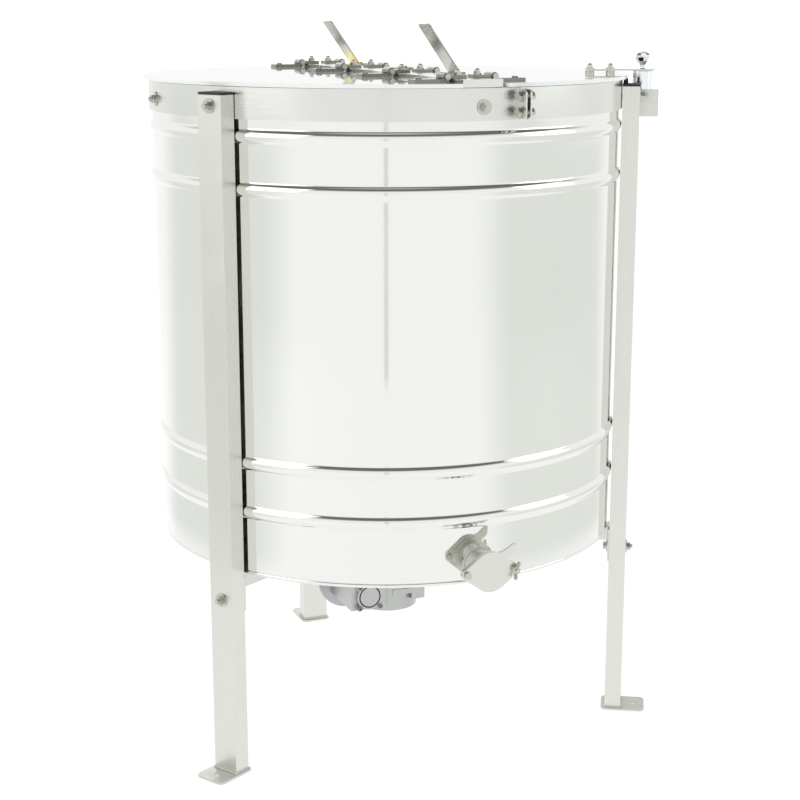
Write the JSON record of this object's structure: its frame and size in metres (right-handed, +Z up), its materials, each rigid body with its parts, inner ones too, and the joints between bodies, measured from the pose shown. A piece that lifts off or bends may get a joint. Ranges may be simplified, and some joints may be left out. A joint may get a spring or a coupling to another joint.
{
  "type": "honey extractor",
  "caption": "Round stainless drum on three legs with a hinged two-part clear lid, a honey gate and a motor-driven radial cage.",
  "frame": {"origin": "centre of the circle of foot bolt holes, on the drum's axis at floor level", "axes": "+Z up along the drum's axis, -Y towards the honey gate, +X towards the lid half with the knob"},
  "size_m": [0.88, 0.9648, 1.255],
  "materials": {
    "polished_steel": "mirror polished stainless sheet",
    "satin_steel": "satin stainless",
    "bolt_steel": "plain stainless fasteners",
    "black_plastic": "moulded",
    "black_rubber": "moulded",
    "white_silicone": "moulded food silicone",
    "cast_aluminium": "die cast",
    "motor_grey": "satin enamel",
    "clear_acrylic": "clear sheet, polished",
    "chrome_plate": "bright chrome",
    "wheel_bronze": "machined bronze",
    "turned_steel": "turned and polished",
    "gate_steel": "brushed stainless plate",
    "ground_steel": "ground bright steel"
  },
  "bodies": {
    "frame": {"drum_wall": "polished_steel", "drum_bottom": "polished_steel", "clamp_band": "satin_steel", "clamp_bolts": "bolt_steel", "band_bolts": "bolt_steel", "leg_left": "satin_steel", "leg_right": "satin_steel", "leg_back": "satin_steel", "leg_caps": "black_plastic", "lid_rest": "black_rubber", "foot_plates": "satin_steel", "leg_bolts": "bolt_steel", "underframe_arms": "satin_steel", "arm_end_plates": "satin_steel", "gearbox_plate": "satin_steel", "gearbox_housing": "cast_aluminium", "gearbox_flange": "cast_aluminium", "worm_cover": "cast_aluminium", "gearbox_screws": "bolt_steel", "motor_body": "motor_grey", "fan_cover": "motor_grey", "terminal_box": "motor_grey", "cable_gland": "black_plastic", "bearing_housing": "cast_aluminium", "bottom_bearing": "ground_steel", "shaft_seal": "black_rubber", "bridge": "satin_steel", "top_bearing_housing": "cast_aluminium", "top_bearing": "ground_steel", "bridge_leaves": "satin_steel", "hinge_pins": "bolt_steel", "bridge_bolts": "bolt_steel", "lid_stops": "satin_steel", "outlet_pipe": "polished_steel", "gate_flange": "gate_steel", "gate_seal": "white_silicone", "gate_screws": "bolt_steel", "switch_box": "satin_steel", "switch_post": "turned_steel"},
    "right_lid": {"lid_right": "clear_acrylic", "right_leaves": "satin_steel", "right_leaf_bolts": "bolt_steel", "lid_strap": "satin_steel", "strap_bolts": "bolt_steel", "lid_knob": "chrome_plate"},
    "left_lid": {"lid_left": "clear_acrylic", "left_leaves": "satin_steel", "left_leaf_bolts": "bolt_steel"},
    "gate": {"gate_plate": "gate_steel"},
    "gate_nut": {"gate_wing_nut": "bolt_steel"},
    "plunger": {"switch_plunger": "ground_steel"},
    "cage": {"cage_shaft": "ground_steel", "cage_hubs": "satin_steel", "cage_spokes": "satin_steel", "lower_ring": "satin_steel", "middle_ring": "satin_steel", "upper_ring": "satin_steel", "inner_rings": "satin_steel", "cage_uprights": "satin_steel", "frame_rests": "satin_steel", "worm_wheel": "wheel_bronze"},
    "rotor": {"worm_shaft": "ground_steel", "motor_fan": "motor_grey"}
  },
  "joints": [
    {"name": "right_lid_hinge", "type": "hinge", "parent": "frame", "child": "right_lid", "pos_m": [0.041, 0, 1.1745], "axis": [0, -1, 0], "range_deg": [0, 130]},
    {"name": "left_lid_hinge", "type": "hinge", "parent": "frame", "child": "left_lid", "pos_m": [-0.041, 0, 1.1745], "axis": [0, 1, 0], "range_deg": [0, 48]},
    {"name": "gate_pivot", "type": "hinge", "parent": "frame", "child": "gate", "pos_m": [-0.042, -0.46, 0.389], "axis": [0, -1, 0], "range_deg": [0, 97]},
    {"name": "gate_nut_turn", "type": "hinge", "parent": "frame", "child": "gate_nut", "pos_m": [0.042, -0.466, 0.389], "axis": [0, -1, 0], "continuous": true},
    {"name": "plunger_press", "type": "slide", "parent": "frame", "child": "plunger", "axis": [0, 0, -1], "range_m": [0, 0.004], "stiffness_N_per_m": 200, "springref_m": -0.002},
    {"name": "cage_spin", "type": "hinge", "parent": "frame", "child": "cage", "pos_m": [0, 0, 0.7], "axis": [0, 0, 1], "continuous": true},
    {"name": "worm_spin", "type": "hinge", "parent": "frame", "child": "rotor", "pos_m": [-0.058, 0, 0.22], "axis": [0, 1, 0], "continuous": true}
  ],
  "couplings": [
    {"joint": "worm_spin", "follows": "cage_spin", "ratio": 7.5}
  ]
}
